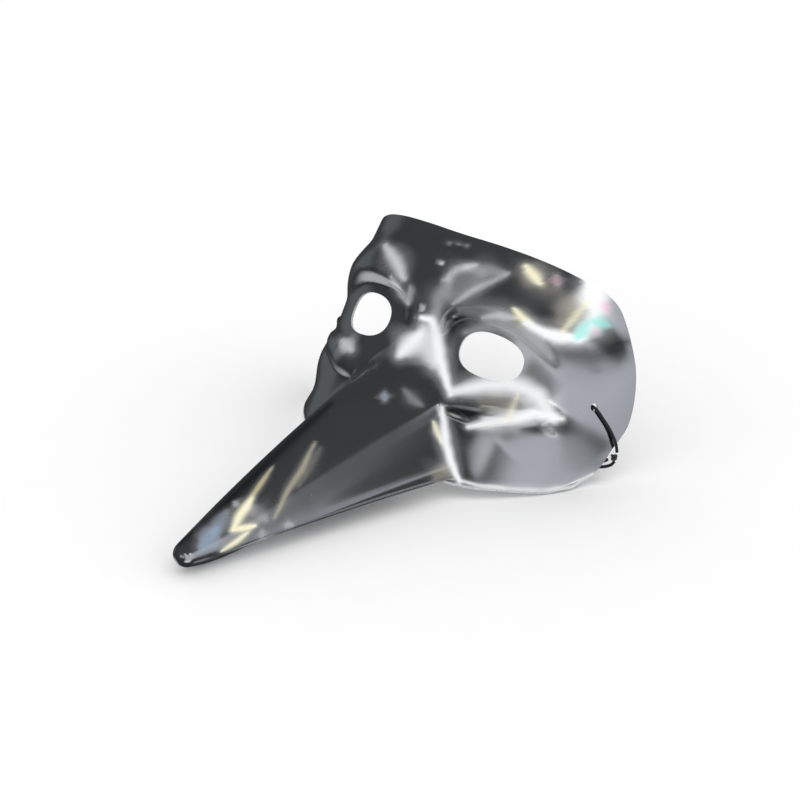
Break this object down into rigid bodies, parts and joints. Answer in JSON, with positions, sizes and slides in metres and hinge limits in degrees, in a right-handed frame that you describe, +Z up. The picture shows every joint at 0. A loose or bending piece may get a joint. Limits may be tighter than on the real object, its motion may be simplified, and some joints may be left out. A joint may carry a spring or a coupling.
{
  "type": "long-beaked carnival half mask",
  "caption": "Half mask of thin silvered plastic with raised brows and cheeks, two eye holes and a long drooping hollow beak, and a thin black elastic tied at the temples.",
  "frame": {"origin": "middle of the ground under the mask shell's box, with the mask lying on its beak tip and its lower edge", "axes": "+Z up, -Y the way the beak points, +X towards the wearer's left; the mask itself is tipped back by 32 degrees"},
  "size_m": [0.178, 0.2214, 0.1018],
  "materials": {
    "silver_sheet": "vacuum-metallised plastic sheet, mirror-like with soft haze, fine scuffs and a faint yellow and rainbow tint",
    "black_elastic": "woven round elastic, matte black with a faint sheen"
  },
  "bodies": {
    "root": {"mask_shell": "silver_sheet", "elastic_cord": "black_elastic", "elastic_loop_left": "black_elastic", "elastic_loop_right": "black_elastic", "knot_left": "black_elastic", "knot_right": "black_elastic"}
  },
  "joints": []
}
